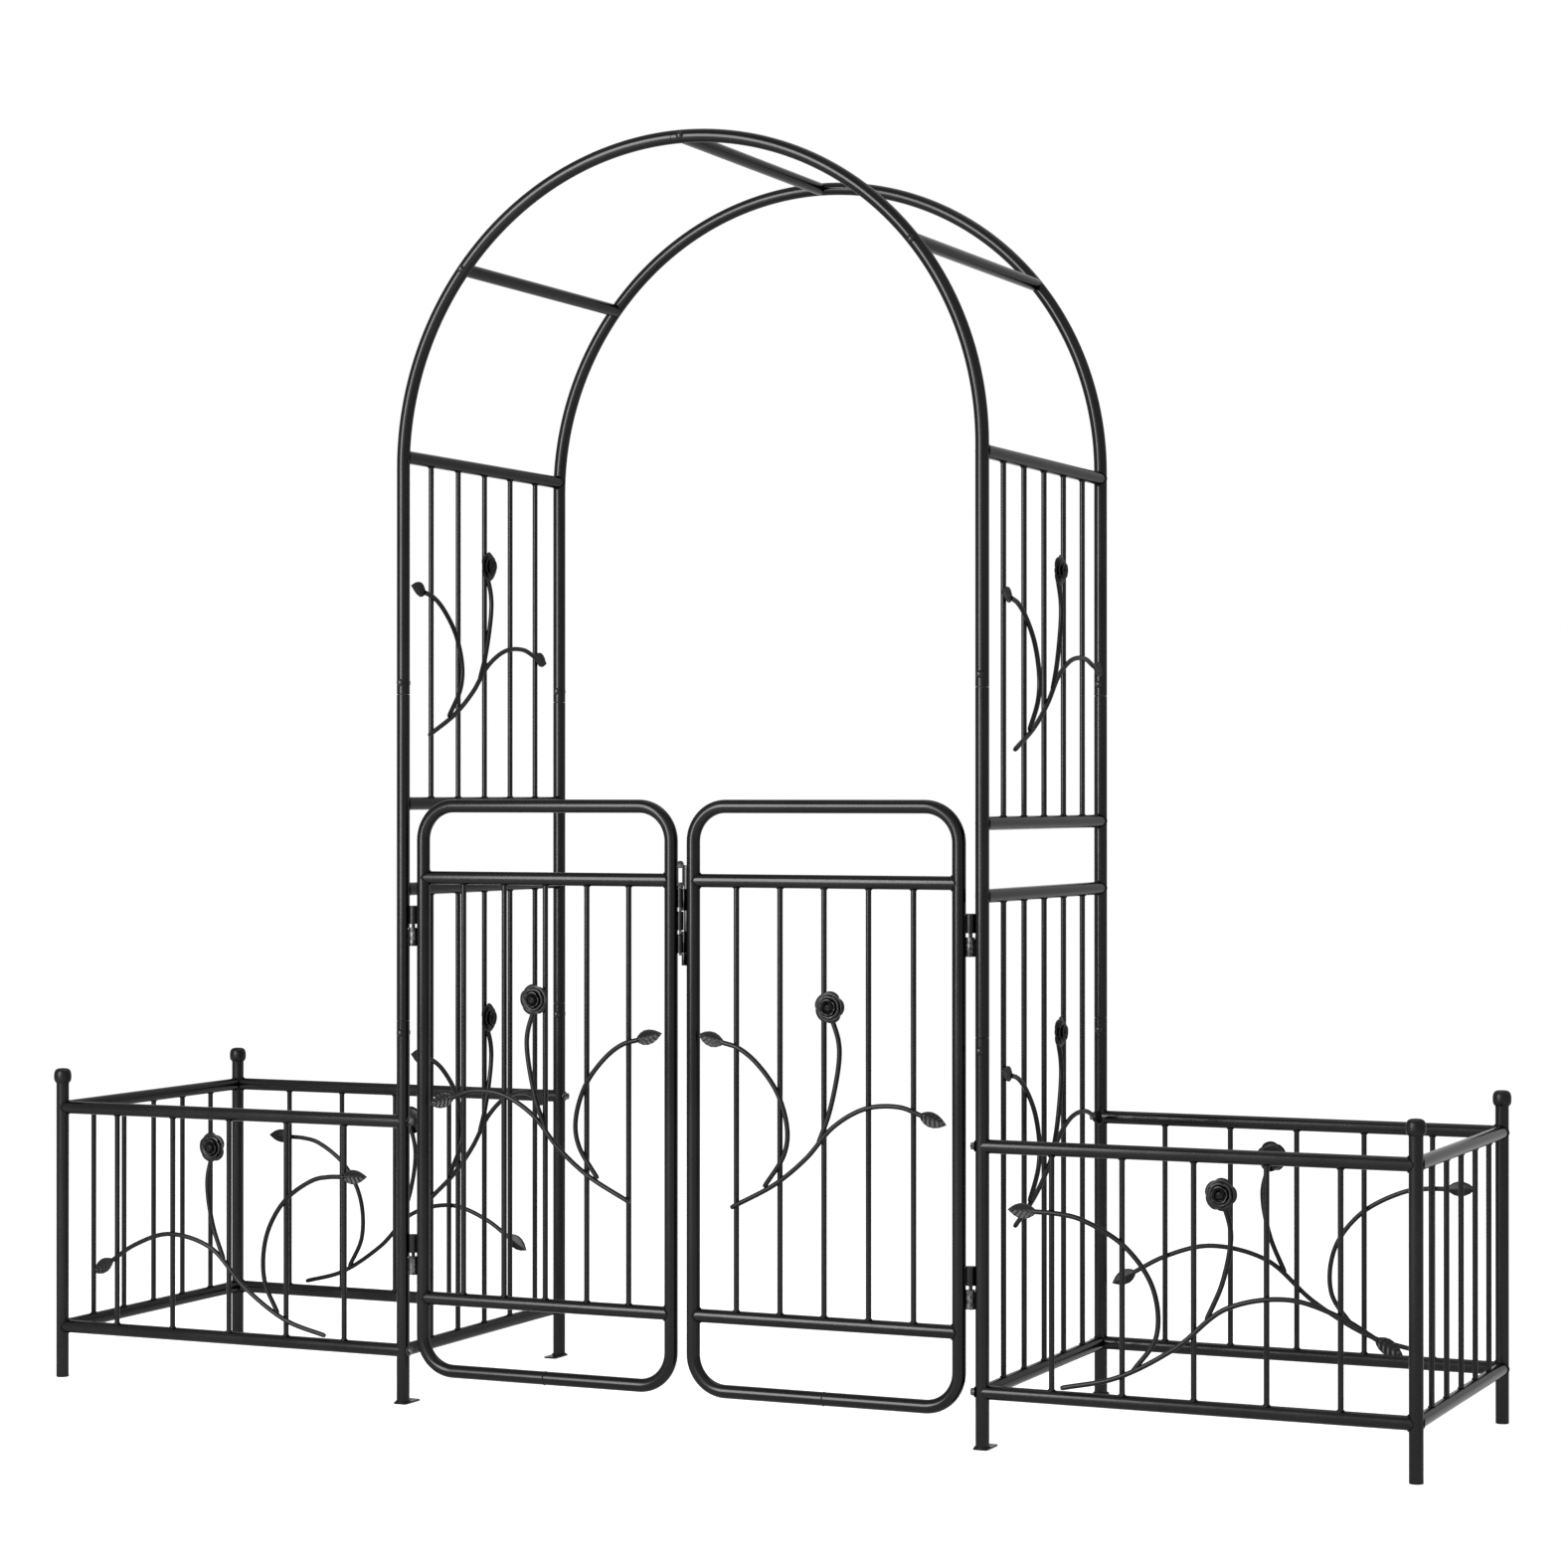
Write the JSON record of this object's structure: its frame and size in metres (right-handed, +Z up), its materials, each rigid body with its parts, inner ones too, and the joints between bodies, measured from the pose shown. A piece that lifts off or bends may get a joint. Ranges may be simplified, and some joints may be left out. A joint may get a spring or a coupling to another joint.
{
  "type": "garden arch with gate",
  "caption": "Tube-framed garden arch with a double gate across its front and an open railed planter box at either side, with flower scrolls on its panels.",
  "frame": {"origin": "on the ground, halfway across the arch and halfway through its depth", "axes": "+X across the passage to the right-hand planter as seen from the front, +Y from the gate towards the back, +Z up"},
  "size_m": [2.4464, 0.6134, 2.1009],
  "materials": {
    "black_coat": "satin black powder coat on steel tube and bar",
    "cast_black": "black coat on scroll rods, pressed leaves, roses and post caps, slightly duller than the tubes",
    "dark_steel": "black coated steel bolts, hinge pins and latch pin"
  },
  "bodies": {
    "root": {"arch_half_back_left": "black_coat", "arch_half_back_right": "black_coat", "arch_half_front_left": "black_coat", "arch_half_front_right": "black_coat", "cross_tube_left": "black_coat", "cross_tube_right": "black_coat", "cross_tube_top": "black_coat", "left_corner_post_back": "black_coat", "left_corner_post_front": "black_coat", "left_finial_back": "cast_black", "left_finial_front": "cast_black", "left_hinge_lower": "dark_steel", "left_hinge_upper": "dark_steel", "left_lower_panel": "black_coat", "left_lower_scroll": "cast_black", "left_planter_back_panel": "black_coat", "left_planter_back_scroll": "cast_black", "left_planter_bolt_back_bottom": "dark_steel", "left_planter_bolt_back_top": "dark_steel", "left_planter_bolt_front_bottom": "dark_steel", "left_planter_bolt_front_top": "dark_steel", "left_planter_end_panel": "black_coat", "left_planter_front_panel": "black_coat", "left_planter_front_scroll": "cast_black", "left_upper_panel": "black_coat", "left_upper_scroll": "cast_black", "lower_post_back_left": "black_coat", "lower_post_back_right": "black_coat", "lower_post_front_left": "black_coat", "lower_post_front_right": "black_coat", "middle_post_back_left": "black_coat", "middle_post_back_right": "black_coat", "middle_post_front_left": "black_coat", "middle_post_front_right": "black_coat", "right_corner_post_back": "black_coat", "right_corner_post_front": "black_coat", "right_finial_back": "cast_black", "right_finial_front": "cast_black", "right_hinge_lower": "dark_steel", "right_hinge_upper": "dark_steel", "right_lower_panel": "black_coat", "right_lower_scroll": "cast_black", "right_planter_back_panel": "black_coat", "right_planter_back_scroll": "cast_black", "right_planter_bolt_back_bottom": "dark_steel", "right_planter_bolt_back_top": "dark_steel", "right_planter_bolt_front_bottom": "dark_steel", "right_planter_bolt_front_top": "dark_steel", "right_planter_end_panel": "black_coat", "right_planter_front_panel": "black_coat", "right_planter_front_scroll": "cast_black", "right_upper_panel": "black_coat", "right_upper_scroll": "cast_black"},
    "right_gate": {"right_gate_leaf": "black_coat", "right_gate_scroll": "cast_black", "latch_plate": "black_coat"},
    "left_gate": {"left_gate_leaf": "black_coat", "left_gate_scroll": "cast_black", "latch_knuckle": "black_coat"},
    "latch_pin": {"latch_pin": "dark_steel"}
  },
  "joints": [
    {"name": "right_gate_hinge", "type": "hinge", "parent": "root", "child": "right_gate", "pos_m": [0.5005, -0.2815, 0.5265], "axis": [0, 0, 1], "range_deg": [-75, 90]},
    {"name": "left_gate_hinge", "type": "hinge", "parent": "root", "child": "left_gate", "pos_m": [-0.5005, -0.2815, 0.5265], "axis": [0, 0, -1], "range_deg": [-75, 90]},
    {"name": "latch_pin_lift", "type": "slide", "parent": "right_gate", "child": "latch_pin", "axis": [0, 0, 1], "range_m": [0, 0.075]}
  ]
}
